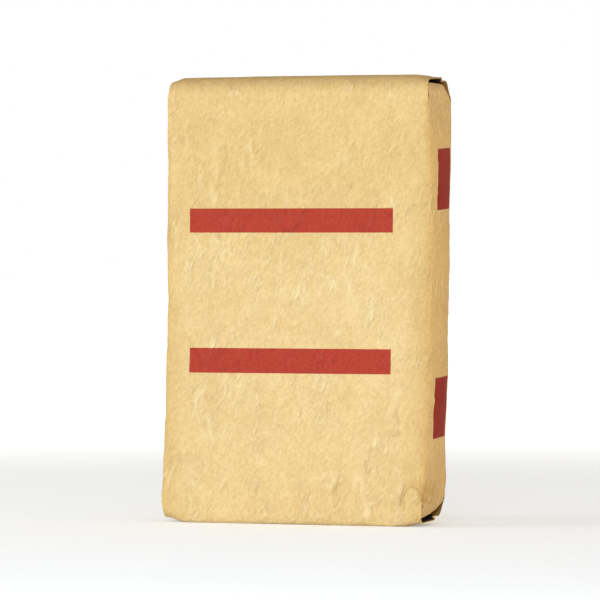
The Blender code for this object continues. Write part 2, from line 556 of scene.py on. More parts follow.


# %% [markdown]
# ## Features in their own places
# A few forms sit where the sack shows them: the pucker at the two right-hand front corners where
# the soft edge meets the flat end, the pad at the lower right corner, and some long creases near it.
# Each is a small height function of the distance to a point or a line.

# %% Puckers, pad and long creases
PUCKER_END = 0.036
PUCKER_DEPTH = 0.0016
PUCKER_RADIUS = 0.006
PAD = (0.16, 0.0275, 0.013, 0.023)
PAD_HEIGHT = 0.0013
PAD_EDGE = 0.003
PAD_GROOVE = 0.0007
CREASES = (
    ((0.059, 0.064), (0.05, 0.042), 0.0011),
    ((0.062, 0.062), (0.056, 0.03), -0.001),
    ((0.052, 0.04), (0.054, 0.022), 0.0009),
    ((0.01, 0.146), (0.004, 0.13), 0.0009),
    ((0.13, 0.15), (0.137, 0.126), -0.0009),
    ((0.125, 0.115), (0.14, 0.118), -0.0008),
    ((0.124, 0.106), (0.118, 0.09), 0.0009),
    ((0.15, 0.052), (0.142, 0.022), -0.001),
    ((0.145, 0.056), (0.14, 0.036), 0.0009),
    ((0.147, 0.036), (0.151, 0.016), -0.0008),
    ((0.096, 0.038), (0.104, 0.014), 0.0009),
    ((0.085, 0.07), (0.083, 0.048), 0.0007),
    ((-0.108, 0.505), (-0.1, 0.43), 0.0007),
    ((-0.09, 0.47), (-0.104, 0.41), -0.0005),
    ((-0.04, 0.506), (-0.052, 0.48), 0.001),
    ((0.06, 0.33), (0.085, 0.262), 0.0006),
    ((-0.15, 0.25), (-0.118, 0.205), -0.0006),
    ((0.142, 0.18), (0.118, 0.128), 0.0006),
)
CREASE_WIDTH = 0.0028


def near_segment(x, z, start, end):
    """The distance to a segment, and how far along it the nearest point lies."""
    run = Vector(end) - Vector(start)
    along = (Vector((x, z)) - Vector(start)).dot(run) / run.length_squared
    nearest = Vector(start) + run * min(1.0, max(0.0, along))
    return (Vector((x, z)) - nearest).length, along


def placed_forms(place):
    """Height of the forms that have a place of their own on the front panel, and their lightness:
    lighter on a raised crease, as wear and a painted highlight, and painted shade in a sunken crease,
    the pucker and the pad's groove.
    """
    if place.y > 0:
        return 0.0, 0.0
    aside = (HALF_WIDTH - place.x, HALF_DEPTH + place.y, from_end(place.z) - PUCKER_END)
    pucker = Vector(aside).length / PUCKER_RADIUS
    height = -PUCKER_DEPTH * math.exp(-(pucker**2))
    centre_x, centre_z, radius_x, radius_z = PAD
    out = math.hypot((place.x - centre_x) / radius_x, (place.z - centre_z) / radius_z)
    past = (out - 1) * radius_x
    groove = math.exp(-(((past - PAD_EDGE) / PAD_EDGE) ** 2)) if place.z > centre_z else 0.0
    height += PAD_HEIGHT * (1 - smoothstep(0, PAD_EDGE, past)) - PAD_GROOVE * groove
    # The pucker and the groove round the pad get painted shade.
    lines = -groove - math.exp(-(pucker**2))
    for start, end, depth in CREASES:
        away, along = near_segment(place.x, place.z, start, end)
        taper = max(0.0, 1 - (2 * along - 1) ** 2)
        line = taper * math.exp(-((away / CREASE_WIDTH) ** 2))
        height += depth * line
        lines += math.copysign(line, depth)
    return height, lines


# %% [markdown]
# ## Seam
# A paper sack is a tube glued along one seam, here down the back. The outer edge of the overlap
# stands a little proud. It is a step of half a millimetre, so two bisect lines give it an edge.

# %% Cut the back seam
SEAM_X = -0.07
SEAM_WIDTH = 0.0006
SEAM_STEP = 0.0005
SEAM_OVERLAP = 0.04
SEAM_FACING = 0.5


def at_seam(face):
    return face.normal.y > SEAM_FACING and abs(face.calc_center_median().x - SEAM_X) < CELL


edit(sack)
for line in (SEAM_X, SEAM_X + SEAM_WIDTH):
    select(sack, "FACE", at_seam)
    bpy.ops.mesh.bisect(plane_co=(line, 0, 0), plane_no=(1, 0, 0))
leave_edit()

# %% Crumple the sack
CALM_END = 0.012
CALM_SHARE = 0.45
PASTED_SHARE = 0.3
# A painted highlight along the sharp upright folds near the ends, where the fold's rounding catches
# the light; it goes into the crease attribute.
FOLD_HIGHLIGHT_LENGTH = 0.034
FOLD_HIGHLIGHT_WIDTH = 0.0012
FOLD_PAINTED_HIGHLIGHT = 0.9


def on_end_fold(place):
    """Whether a point is on one of the sharp upright folds near the ends."""
    beside = HALF_WIDTH - abs(place.x) < 2 * FOLD_HIGHLIGHT_WIDTH
    ahead = HALF_DEPTH - abs(place.y) < 2 * FOLD_HIGHLIGHT_WIDTH
    return beside and ahead and from_end(place.z) < FOLD_HIGHLIGHT_LENGTH


ridges = []
in_gap = [item.value > MOUTH_SHADE / 2 for item in sack.data.attributes["hidden"].data]
normals = [vertex.normal.copy() for vertex in sack.data.vertices]
for vertex, normal, deep in zip(sack.data.vertices, normals, in_gap):
    place = vertex.co.copy()
    height, lines = crumple(place)
    placed, placed_lines = placed_forms(place)
    height += placed
    lines += placed_lines
    calm = mix(CALM_SHARE, 1.0, smoothstep(0.0, CALM_END, from_end(place.z)))
    if abs(normal.z) > FACING:
        calm *= PASTED_SHARE
    if deep:
        calm = 0.0
    if normal.y > SEAM_FACING:
        seam = smoothstep(SEAM_X, SEAM_X + SEAM_WIDTH, place.x)
        seam *= 1 - smoothstep(SEAM_X + SEAM_OVERLAP, SEAM_X + 2 * SEAM_OVERLAP, place.x)
        height += SEAM_STEP * seam
    vertex.co = place + normal * height * calm
    ridges.append(lines * calm + FOLD_PAINTED_HIGHLIGHT * on_end_fold(place))
crease = sack.data.attributes.new("crease", "FLOAT", "POINT")
crease.data.foreach_set("value", ridges)
print("crumpled, with ridges on", sum(line > 0.5 for line in ridges), "points")

# %% [markdown]
# ## Spread and lean
# The filling spreads the sides, least of all at the ends and less at the waist. The full sack
# isn't quite straight either: its top is shifted to the right, and its middle bows out the same
# way. The top is a little crowned, and the bottom is pressed flat by the weight. Both pieces are
# moved alike, and nothing may end up below the floor.

# %% Spread, bow, lean and stand the sack
SPREAD_AT_ENDS = 0.0014
SPREAD = 0.0058
SPREAD_ZONE = (0.015, 0.095)
WAIST_Z = 0.235
WAIST_REACH = 0.065
WAIST_DEPTH = 0.0016
BOW = 0.0034
CROWN = 0.0022
CROWN_X = 0.07
CROWN_REACH = 0.21
SETTLING = 0.0016
SETTLED_ZONE = 0.02
SMOOTH_ANGLE = math.radians(48)

for piece in (sack, fill):
    for vertex in piece.data.vertices:
        x, y, z = vertex.co
        share = z / HEIGHT
        spread = mix(SPREAD_AT_ENDS, SPREAD, smoothstep(*SPREAD_ZONE, from_end(z)))
        spread -= WAIST_DEPTH * math.exp(-(((z - WAIST_Z) / WAIST_REACH) ** 2))
        x += spread * x / HALF_WIDTH
        z += CROWN * share**4 * (1 - ((x - CROWN_X) / CROWN_REACH) ** 2 / 2)
        z -= SETTLING * (1 - smoothstep(0.0, SETTLED_ZONE, z))
        x += BOW * 4 * share * (1 - share) + LEAN * (share - 0.5)
        vertex.co = (x, y, max(0.0, z))
    select_only(piece)
    bpy.ops.object.shade_smooth_by_angle(angle=SMOOTH_ANGLE)
    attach(piece, "root")
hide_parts("paper_sack")
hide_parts("dry_mix")

# %% [markdown]
# ## Materials
# Every material is built from nodes. A few helpers keep the cells short. They feed inputs with
# numbers, tuples or other nodes' outputs, and most of them give back an output.

# %% Node helpers
ORIGIN = (0.0, 0.0, 0.0)
WHITE = (1.0, 1.0, 1.0, 1.0)


def feed(tree, sockets, values):
    """Sets inputs to values, or links them to other nodes' outputs."""
    for key, value in values.items():
        if isinstance(value, (int, float, tuple)):
            sockets[key].default_value = value
        else:
            tree.links.new(value, sockets[key])


def node(tree, kind, label, inputs=None, **settings):
    made = tree.nodes.new(kind)
    made.name = made.label = label
    for key, value in settings.items():
        setattr(made, key, value)
    feed(tree, made.inputs, inputs or {})
    return made


def sum_node(tree, operation, label, *values, clamp=False):
    """A Math node of up to three numbers."""
    inputs = dict(enumerate(values))
    made = node(tree, "ShaderNodeMath", label, inputs, operation=operation, use_clamp=clamp)
    return made.outputs[0]


def vector_node(tree, operation, label, *values):
    """A Vector Math node of one or two vectors, or of a vector and the number to scale it by."""
    places = (0, 3) if operation == "SCALE" else (0, 1)
    made = node(tree, "ShaderNodeVectorMath", label, dict(zip(places, values)), operation=operation)
    return made.outputs["Value" if operation in ("DOT_PRODUCT", "LENGTH") else "Vector"]


def mix_colours(tree, label, factor, first, second, blend_type="MIX"):
    inputs = {0: factor, 6: first, 7: second}
    made = node(tree, "ShaderNodeMix", label, inputs, data_type="RGBA", blend_type=blend_type)
    return made.outputs[2]


def ramp(tree, label, value, low_value, high_value, low_out=0.0, high_out=1.0):
    """Map Range, smooth, from one span of values to another."""
    names = ("Value", "From Min", "From Max", "To Min", "To Max")
    inputs = dict(zip(names, (value, low_value, high_value, low_out, high_out)))
    made = node(tree, "ShaderNodeMapRange", label, inputs, interpolation_type="SMOOTHSTEP")
    return made.outputs["Result"]


def noise_value(tree, label, place, scale, detail=2.0, roughness=0.5, distortion=0.0):
    names = ("Vector", "Scale", "Detail", "Roughness", "Distortion")
    inputs = dict(zip(names, (place, scale, detail, roughness, distortion)))
    return node(tree, "ShaderNodeTexNoise", label, inputs).outputs["Fac"]


def turned(tree, label, place, turn, stretch):
    """The Texture type of Mapping, which turns a pattern after stretching it."""
    inputs = {"Vector": place, "Rotation": turn, "Scale": stretch}
    made = node(tree, "ShaderNodeMapping", label, inputs, vector_type="TEXTURE")
    return made.outputs["Vector"]


def split(tree, label, place):
    """The three parts of a place."""
    return node(tree, "ShaderNodeSeparateXYZ", label, {0: place}).outputs


def object_place(tree):
    return node(tree, "ShaderNodeTexCoord", "place").outputs["Object"]


def camera_ray(tree):
    """1 where the camera itself looks, and 0 for light that falls on something else."""
    return node(tree, "ShaderNodeLightPath", "seen by the camera").outputs["Is Camera Ray"]


def relief(tree, label, height, strength, distance):
    inputs = {"Height": height, "Strength": strength, "Distance": distance}
    return node(tree, "ShaderNodeBump", label, inputs).outputs["Normal"]


def new_material(name):
    """A material, its node tree and the inputs of its shader."""
    made = bpy.data.materials.new(name)
    made.use_nodes = True
    return made, made.node_tree, made.node_tree.nodes["Principled BSDF"].inputs


def new_group(name, inputs, outputs):
    """A node group, the outputs of its entry and the inputs of its exit. The kind of an input
    follows from its default, which is a number, a place or a colour."""
    group = bpy.data.node_groups.new(name, "ShaderNodeTree")
    for title, value in inputs.items():
        kind = "Float" if isinstance(value, float) else {3: "Vector", 4: "Color"}[len(value)]
        socket = group.interface.new_socket(title, in_out="INPUT", socket_type="NodeSocket" + kind)
        socket.default_value = value
    for title, kind in outputs.items():
        group.interface.new_socket(title, in_out="OUTPUT", socket_type="NodeSocket" + kind)
    entry = node(group, "NodeGroupInput", "in").outputs
    return group, entry, node(group, "NodeGroupOutput", "out").inputs


def use_group(tree, group, label, inputs):
    return node(tree, "ShaderNodeGroup", label, inputs, node_tree=group).outputs


# %% [markdown]
# ## Group: crinkles
# Between the modelled crumples, the paper is covered in fine crinkles a few millimetres wide
# and two or three times as long. A crinkle is a line where a noise pattern passes through its
# middle value. The pattern is stretched first and turned after, so the lines lean over along
# their own length. A mask breaks them up into short strokes that lie in patches. The same
# lines, moved a little sideways, give the painted shade on the side of each crinkle that is
# away from the light. The Crest output is painted lighter in the kraft, as worn fibres and a
# painted highlight.

# %% Crinkle group
LINE_WIDTH = 0.085
LINE_NOISE = (0.6, 0.5, 0.15)
NOISE_MIDDLE = 0.5
STROKE_SCALE = 0.95
STROKE_MASK = (0.46, 0.58)
PATCH_SCALE = 17.0
PATCH_MASK = (0.42, 0.58, 0.15, 1.0)

crinkles, entry, leave = new_group(
    "crinkles",
    {"Position": ORIGIN, "Scale": 90.0, "Tilt": ORIGIN, "Stretch": (1.0, 1.0, 2.4), "Shift": ORIGIN},
    {"Crest": "Float", "Groove": "Float"},
)


def crinkle_lines(label, position):
    """The turned position, and the lines where the noise there passes through its middle."""
    tilted = turned(crinkles, label + " tilt", position, entry["Tilt"], entry["Stretch"])
    folds = noise_value(crinkles, label + " noise", tilted, entry["Scale"], *LINE_NOISE)
    from_middle = sum_node(crinkles, "SUBTRACT", label + " middle", folds, NOISE_MIDDLE)
    away = sum_node(crinkles, "ABSOLUTE", label + " away", from_middle)
    return tilted, ramp(crinkles, label, away, 0.0, LINE_WIDTH, 1.0, 0.0)


shifted = vector_node(crinkles, "SUBTRACT", "moved sideways", entry["Position"], entry["Shift"])
tilted, crests = crinkle_lines("crest", entry["Position"])
grooves = crinkle_lines("groove", shifted)[1]
stroke_scale = sum_node(crinkles, "MULTIPLY", "stroke scale", entry["Scale"], STROKE_SCALE)
strokes = noise_value(crinkles, "strokes", tilted, stroke_scale)
patches = noise_value(crinkles, "patches", entry["Position"], PATCH_SCALE)
in_strokes = ramp(crinkles, "in strokes", strokes, *STROKE_MASK)
in_patches = ramp(crinkles, "in patches", patches, *PATCH_MASK)
where = sum_node(crinkles, "MULTIPLY", "where", in_strokes, in_patches)
for name, lines in (("Crest", crests), ("Groove", grooves)):
    feed(crinkles, leave, {name: sum_node(crinkles, "MULTIPLY", name + "s", lines, where)})

# %% [markdown]
# ## Group: paper fibre
# Kraft is made of long brown fibres. Close up it is mottled in soft clouds and speckled with
# single darker and lighter fibres, and these also make the surface slightly felt-like. The
# Height output is the unevenness of the sheet itself, which is about a centimetre across. The
# numbers of a noise are its scale, detail, roughness and distortion. A contrast is a span of
# the noise and the span of values that it becomes.

# %% Fibre group
CLOUDS = (6.0, 0.68)
STRANDS = (430.0, 2.0, 0.5, 1.0)
GRAIN = (300.0, 2.0, 0.5, 0.4)
GRAIN_TURN = (0.0, 0.5, 0.0)
GRAIN_STRETCH = (1.0, 1.0, 2.0)
UNEVEN = (105.0, 4.0, 0.6)
CLOUD_CONTRAST = (0.32, 0.68, -0.2, 0.26)
STRAND_CONTRAST = (0.3, 0.7, 0.0, 0.5)
GRAIN_CONTRAST = (0.3, 0.7, 0.6, 0.0)

fibre, entry, leave = new_group(
    "paper fibre",
    {"Position": ORIGIN, "Light": WHITE, "Dark": WHITE, "Cloud Scale": 14.0},
    {"Color": "Color", "Fibre": "Float", "Grain": "Float", "Height": "Float"},
)
position = entry["Position"]
clouds = noise_value(fibre, "clouds", position, entry["Cloud Scale"], *CLOUDS)
strands = noise_value(fibre, "single fibres", position, *STRANDS)
grain = turned(fibre, "slanted grain", position, GRAIN_TURN, GRAIN_STRETCH)
grain = noise_value(fibre, "grain", grain, *GRAIN)
uneven = noise_value(fibre, "uneven sheet", position, *UNEVEN)
share = ramp(fibre, "cloud contrast", clouds, *CLOUD_CONTRAST)
stranded = ramp(fibre, "fibre contrast", strands, *STRAND_CONTRAST)
grained = ramp(fibre, "grain contrast", grain, *GRAIN_CONTRAST)
share = sum_node(fibre, "ADD", "cloud and fibre", share, stranded)
share = sum_node(fibre, "ADD", "mottle", share, grained, clamp=True)
colour = mix_colours(fibre, "mottled", share, entry["Light"], entry["Dark"])
feed(fibre, leave, {"Color": colour, "Fibre": strands, "Grain": grain, "Height": uneven})

# %% [markdown]
# ## Group: printed bar
# The sack's print is two plain bars on the front and two on the right-hand side. A bar is a box
# in space: a point is inside if it is nearer to the box's centre than half its size, along each
# axis. The box reaches deep enough to go through the crumpled panel.

# %% Bar group
BAR_EDGE = 0.0002

bar, entry, leave = new_group(
    "printed bar",
    {"Position": ORIGIN, "Centre": ORIGIN, "Half Size": (0.1, 0.1, 0.1)},
    {"Mask": "Float"},
)
offset = vector_node(bar, "SUBTRACT", "offset", entry["Position"], entry["Centre"])
away = vector_node(bar, "ABSOLUTE", "away", offset)
spare = vector_node(bar, "SUBTRACT", "room to the edge", entry["Half Size"], away)
room_x, room_y, room_z = split(bar, "axes", spare)
least = sum_node(bar, "MINIMUM", "least xy", room_x, room_y)
least = sum_node(bar, "MINIMUM", "least", least, room_z)
feed(bar, leave, {"Mask": ramp(bar, "soft edge", least, -BAR_EDGE, BAR_EDGE)})

# %% [markdown]
# ## Groups: fold mark and pad
# A few long creases have a place of their own, and so has the oval pad where the pasted corner
# shows through. Both are flat shapes seen from the front. A fold mark is the distance to a line
# from Start along Run, and it fades towards both of its ends. A pad is the upper part of an
# ellipse. In the kraft a fold mark is painted lighter, as worn fibres and a painted highlight,
# with a line of painted shade beside it, and the pad's outline is painted shade.

# %% Fold mark group
MARK_TAPER = 0.15

mark, entry, leave = new_group(
    "fold mark",
    {"Position": ORIGIN, "Start": ORIGIN, "Run": (0.0, 0.0, 0.1), "Width": 0.0012},
    {"Line": "Float"},
)
run = entry["Run"]
away = vector_node(mark, "SUBTRACT", "from the start", entry["Position"], entry["Start"])
reach = vector_node(mark, "DOT_PRODUCT", "reach", away, run)
squared = vector_node(mark, "DOT_PRODUCT", "run squared", run, run)
along = sum_node(mark, "DIVIDE", "along", reach, squared, clamp=True)
nearest = vector_node(mark, "SCALE", "nearest", run, along)
aside = vector_node(mark, "SUBTRACT", "aside", away, nearest)
distance = vector_node(mark, "LENGTH", "distance", aside)
near = sum_node(mark, "DIVIDE", "near", distance, entry["Width"])
line = ramp(mark, "line", near, 0.0, 1.0, 1.0, 0.0)
rest = sum_node(mark, "SUBTRACT", "rest", 1.0, along)
taper = sum_node(mark, "MULTIPLY", "taper", along, rest)
taper = ramp(mark, "tapered", taper, 0.0, MARK_TAPER)
feed(mark, leave, {"Line": sum_node(mark, "MULTIPLY", "mark", line, taper)})

# %% Pad group
PAD_UPPER = (-0.2, 0.4)
PAD_INSIDE = (-0.16, 0.02, 1.0, 0.0)
PAD_LINE = (0.0, 0.09, 1.0, 0.0)

oval, entry, leave = new_group(
    "pad",
    {"Position": ORIGIN, "Centre": ORIGIN, "Radii": (1.0, 1.0, 1.0)},
    {"Inside": "Float", "Outline": "Float"},
)
away = vector_node(oval, "SUBTRACT", "from the centre", entry["Position"], entry["Centre"])
scaled = vector_node(oval, "DIVIDE", "in radii", away, entry["Radii"])
distance = vector_node(oval, "LENGTH", "distance", scaled)
past = sum_node(oval, "SUBTRACT", "past the edge", distance, 1.0)
apart = sum_node(oval, "ABSOLUTE", "apart", past)
upper = ramp(oval, "upper part", split(oval, "parts", scaled)[2], *PAD_UPPER)
inside = ramp(oval, "inside", past, *PAD_INSIDE)
outline = ramp(oval, "outline", apart, *PAD_LINE)
for name, value in (("Inside", inside), ("Outline", outline)):
    feed(oval, leave, {name: sum_node(oval, "MULTIPLY", "upper " + name, value, upper)})

# %% [markdown]
# ## Kraft paper with its print
# The print follows the sack, so its position has the lean and the bow taken out again. Where
# the paper is creased the ink is thinner and the fibres show lighter, together with a painted
# highlight, and the grooves get painted shade. The side panels and the top get painted shade,
# and the lower front, where the sack bulges, a painted light. Two point attributes of the mesh
# help: "crease" is above 0 on a crest and below 0 in a groove, and "hidden" grows with the
# depth inside a corner pocket, whose painted shade is brown at its mouth and nearly black
# further in, where hardly any light comes.

# %% Kraft paper
KRAFT = {"Light": (0.86, 0.63, 0.28, 1.0), "Dark": (0.73, 0.5, 0.2, 1.0), "Cloud Scale": 14.0}
FINE = {"Scale": 145.0, "Tilt": (0.0, 0.5, 0.0), "Stretch": (1.0, 1.0, 3.2)}
COARSE = {"Scale": 85.0, "Tilt": (0.0, 0.15, 0.3), "Stretch": (1.0, 1.0, 3.0)}
# How far the painted shade beside each crinkle is moved from its crest, to the side away from the
# light.
GROOVE_SHIFT = (0.0016, 0.0016, -0.0006)

kraft, tree, shader = new_material("kraft_paper")
place = object_place(tree)
paper = use_group(tree, fibre, "paper", {"Position": place} | KRAFT)
crinkled = {"Position": place, "Shift": GROOVE_SHIFT}
fine = use_group(tree, crinkles, "fine crinkles", crinkled | FINE)
coarse = use_group(tree, crinkles, "coarse crinkles", crinkled | COARSE)
modelled = node(tree, "ShaderNodeAttribute", "ridges", attribute_name="crease").outputs["Fac"]
depth = node(tree, "ShaderNodeAttribute", "pocket depth", attribute_name="hidden").outputs["Fac"]

# %% Print on the kraft
# A bar is its centre, along and up the panel, and half its width and height
FRONT_BARS = ((-0.0061, 0.3842, 0.1358, 0.0153), (-0.005, 0.207, 0.1344, 0.0158))
SIDE_BARS = ((0.001, 0.4366, 0.025, 0.0384), (0.001, 0.1492, 0.0245, 0.0383))
SIDE_BAR_SLOPE = 0.05
BAR_REACH = 0.03

place_x, place_y, place_z = split(tree, "parts", place)
below = sum_node(tree, "DIVIDE", "share below", place_z, HEIGHT)
above = sum_node(tree, "SUBTRACT", "share above", 1.0, below)
bowed = sum_node(tree, "MULTIPLY", "bowed", below, above)
bowed = sum_node(tree, "MULTIPLY_ADD", "bow", bowed, -4 * BOW, LEAN / 2)
leaning = sum_node(tree, "MULTIPLY_ADD", "lean", below, -LEAN, bowed)
upright_x = sum_node(tree, "ADD", "upright x", place_x, leaning)
level_z = sum_node(tree, "MULTIPLY_ADD", "level", place_y, -SIDE_BAR_SLOPE, place_z)
on_front = sum_node(tree, "LESS_THAN", "on the front", place_y, 0.0)


def joined(label, *parts):
    """A place made of its three parts."""
    return node(tree, "ShaderNodeCombineXYZ", label, dict(enumerate(parts))).outputs[0]


def bars_mask(label, position, bars):
    """The two bars of one panel, each given by its centre and half size."""
    masks = [
        use_group(tree, bar, label, {"Position": position, "Centre": centre, "Half Size": half})[0]
        for centre, half in bars
    ]
    return sum_node(tree, "MAXIMUM", label + "s", *masks)


front_bars = bars_mask(
    "front bar", joined("front place", upright_x, place_y, place_z),
    [((x, -HALF_DEPTH, z), (half_x, BAR_REACH, half_z)) for x, z, half_x, half_z in FRONT_BARS],
)
side_bars = bars_mask(
    "side bar", joined("side place", upright_x, place_y, level_z),
    [((HALF_WIDTH, y, z), (BAR_REACH, half_y, half_z)) for y, z, half_y, half_z in SIDE_BARS],
)
printed = sum_node(tree, "MAXIMUM", "all bars", front_bars, side_bars)
print("bars:", len(FRONT_BARS) + len(SIDE_BARS))

# %% Fold marks and pad on the kraft
# A mark is its start and its end, across and up the front panel
FOLD_MARKS = (
    ((0.0646, 0.0669), (0.0566, 0.0427)),
    ((0.0123, 0.145), (0.0096, 0.136)),
    ((0.1344, 0.1513), (0.1411, 0.1271)),
    ((0.125, 0.1144), (0.1425, 0.117)),
    ((0.1237, 0.1042), (0.1183, 0.0915)),
    ((0.0995, 0.04), (0.1089, 0.0185)),
    ((0.1492, 0.0559), (0.1424, 0.0242)),
    ((0.1478, 0.0407), (0.1505, 0.0191)),
    ((-0.098, 0.48), (-0.093, 0.464)),
    ((-0.042, 0.506), (-0.05, 0.488)),
)
MARK_WIDTH = 0.0018
# How far the line of painted shade sits beside each fold mark.
MARK_SHIFT = (0.0014, 0.0, 0.0)
PAD_CENTRE = (0.162, 0.0, 0.0275)
PAD_RADII = (0.0135, 1.0, 0.023)

flat = joined("flat place", upright_x, 0.0, place_z)
beside = vector_node(tree, "SUBTRACT", "beside", flat, MARK_SHIFT)


def fold_lines(label, position):
    """All the fold marks together, on the front panel only."""
    total = 0.0
    for (x, z), (end_x, end_z) in FOLD_MARKS:
        inputs = {"Position": position, "Width": MARK_WIDTH}
        inputs |= {"Start": (x, 0.0, z), "Run": (end_x - x, 0.0, end_z - z)}
        line = use_group(tree, mark, label, inputs)["Line"]
        total = sum_node(tree, "ADD", label + " sum", line, total, clamp=True)
    return sum_node(tree, "MULTIPLY", label + " in front", total, on_front)


fold_crests = fold_lines("fold crest", flat)
fold_grooves = fold_lines("fold groove", beside)
pad = use_group(tree, oval, "corner pad", {"Position": flat, "Centre": PAD_CENTRE, "Radii": PAD_RADII})
# The pad's outline is a line of painted shade along its upper edge.
pad_outline = sum_node(tree, "MULTIPLY", "pad outline", pad["Outline"], on_front)
print("fold marks:", len(FOLD_MARKS))


# %% Crests and grooves together
# Weights of the fine and coarse crinkles, the modelled ridges, the fold marks and the pad
CREST_WEIGHTS = (0.5, 0.5, 0.35, 0.45)
GROOVE_WEIGHTS = (0.3, 0.26, -0.35, 0.45, 0.7)


def weighted_sum(label, values, weights, clamp=False):
    total = 0.0
    for value, weight in zip(values, weights):
        total = sum_node(tree, "MULTIPLY_ADD", label, value, weight, total, clamp=clamp)
    return total


# Crests are painted lighter, as worn fibres and a painted highlight; grooves are painted shade.
crests = (fine["Crest"], coarse["Crest"], modelled, fold_crests)
crests = weighted_sum("crests", crests, CREST_WEIGHTS, clamp=True)
grooves = (fine["Groove"], coarse["Groove"], modelled, fold_grooves, pad_outline)
grooves = weighted_sum("grooves", grooves, GROOVE_WEIGHTS, clamp=True)

# %% Colour of the bare kraft
# Crest colour: worn, lighter fibres and a painted highlight. Groove colour: painted shade.
KRAFT_CREST_WEAR_AND_HIGHLIGHT = (0.95, 0.75, 0.38, 1.0)
KRAFT_GROOVE_SHADE = (0.6, 0.37, 0.12, 1.0)
# Painted shade on the side panels and on the front's side edges as they turn away from the light.
SIDE_PAINTED_SHADE = (0.98, 0.92, 0.83, 1.0)
SIDE_X = (HALF_WIDTH - 0.007, HALF_WIDTH + 0.004)
# Painted shade along the top, where the paper turns over away from the light.
TOP_PAINTED_SHADE = (0.73, 0.69, 0.65, 1.0)
TOP_Z = (HEIGHT - 0.022, HEIGHT - 0.001)
# Painted light: the lower middle of the front, where the sack bulges, is made lighter.
BELLY_PAINTED_LIGHT = (1.06, 1.1, 1.22, 1.0)
BELLY_LIGHT_X = (HALF_WIDTH - 0.03, HALF_WIDTH - 0.008, 1.0, 0.0)
BELLY_LIGHT_Z = (0.5, 0.26)

bare = mix_colours(tree, "grooved kraft", grooves, paper["Color"], KRAFT_GROOVE_SHADE)
bare = mix_colours(tree, "creased kraft", crests, bare, KRAFT_CREST_WEAR_AND_HIGHLIGHT)
sideways = sum_node(tree, "ABSOLUTE", "sideways", upright_x)
at_side = ramp(tree, "at a side", sideways, *SIDE_X)
at_top = ramp(tree, "at the top", place_z, *TOP_Z)
across = ramp(tree, "rubbed across", sideways, *BELLY_LIGHT_X)
upwards = ramp(tree, "rubbed upwards", place_z, *BELLY_LIGHT_Z)
rubbed = sum_node(tree, "MULTIPLY", "rubbed", across, upwards)
rubbed = sum_node(tree, "MULTIPLY", "rubbed front", rubbed, on_front)
# Painted shade multiplied onto the side panels and the top, and painted light onto the lower front.
for label, mask, shade in (
    ("side panels", at_side, SIDE_PAINTED_SHADE),
    ("dusty top", at_top, TOP_PAINTED_SHADE),
    ("rubbed belly", rubbed, BELLY_PAINTED_LIGHT),
):
    bare = mix_colours(tree, label, mask, bare, shade, "MULTIPLY")

# %% Ink, pockets and shader
INK = (0.45, 0.036, 0.018, 1.0)
INK_WORN = (0.56, 0.085, 0.045, 1.0)
# Painted shade in the grooves of the printed bars.
INK_GROOVE_SHADE = (0.3, 0.022, 0.014, 1.0)
INK_WEAR = (0.35, 0.75, 0.0, 0.6)
INK_CREST = 0.7
# Painted shade on the bars of the side panel, which are the same ink as the front bars.
SIDE_INK_PAINTED_SHADE = (0.7, 0.38, 0.16, 1.0)
# Painted shade in the corner pockets, by the hidden attribute: brown at the mouths and nearly black
# deeper in, where the paper lies in shadow.
POCKET_BROWN = (0.3, 0.16, 0.035, 1.0)
POCKET_BROWN_AT = 0.028
POCKET_DARK = (0.016, 0.009, 0.004, 1.0)
POCKET_DARK_AT = 0.085
KRAFT_ROUGHNESS = (0.3, 0.7, 0.6, 0.76)
KRAFT_SHINE = 0.25

wear = ramp(tree, "ink wear", paper["Fibre"], *INK_WEAR)
ink = mix_colours(tree, "worn ink", wear, INK, INK_WORN)
ink = mix_colours(tree, "grooved ink", grooves, ink, INK_GROOVE_SHADE)
ink_crests = sum_node(tree, "MULTIPLY", "ink crests", crests, INK_CREST)
ink = mix_colours(tree, "creased ink", ink_crests, ink, INK_WORN)
ink = mix_colours(tree, "ink by panel", side_bars, ink, SIDE_INK_PAINTED_SHADE, "MULTIPLY")
colour = mix_colours(tree, "print", printed, bare, ink)
browned = ramp(tree, "browned", depth, 0.0, POCKET_BROWN_AT)
colour = mix_colours(tree, "pocket mouths", browned, colour, POCKET_BROWN)
darkness = ramp(tree, "darkness", depth, POCKET_BROWN_AT, POCKET_DARK_AT)
colour = mix_colours(tree, "in the pockets", darkness, colour, POCKET_DARK)
rough = ramp(tree, "roughness", paper["Fibre"], *KRAFT_ROUGHNESS)
feed(tree, shader, {"Base Color": colour, "Roughness": rough, "Specular IOR Level": KRAFT_SHINE})

# %% Relief of the kraft
# Heights in millimetres of the uneven sheet, the grain, the fibres, the coarse and fine
# crinkles, the fold marks and the pad
HEIGHTS = (1.7, 1.2, 0.25, 0.8, 0.85, 0.9, 0.9)
KRAFT_RELIEF = (1.0, 0.001)

height = (paper["Height"], paper["Grain"], paper["Fibre"], coarse["Crest"], fine["Crest"])
height = weighted_sum("relief", (*height, fold_crests, pad["Inside"]), HEIGHTS)
feed(tree, shader, {"Normal": relief(tree, "paper relief", height, *KRAFT_RELIEF)})
sack.data.materials.append(kraft)
print("kraft paper:", len(tree.nodes), "nodes")

# %% [markdown]
# ## Cement mix
# The filling is a grey powder with grains of sand, so it is rough, mottled and speckled.

# %% Cement mix
POWDER = {"Light": (0.4, 0.39, 0.36, 1.0), "Dark": (0.26, 0.25, 0.23, 1.0), "Cloud Scale": 40.0}
GRAIN_SCALE = 700.0
POWDER_ROUGHNESS = (0.0, 1.0, 0.85, 1.0)
POWDER_RELIEF = (0.6, 0.0008)

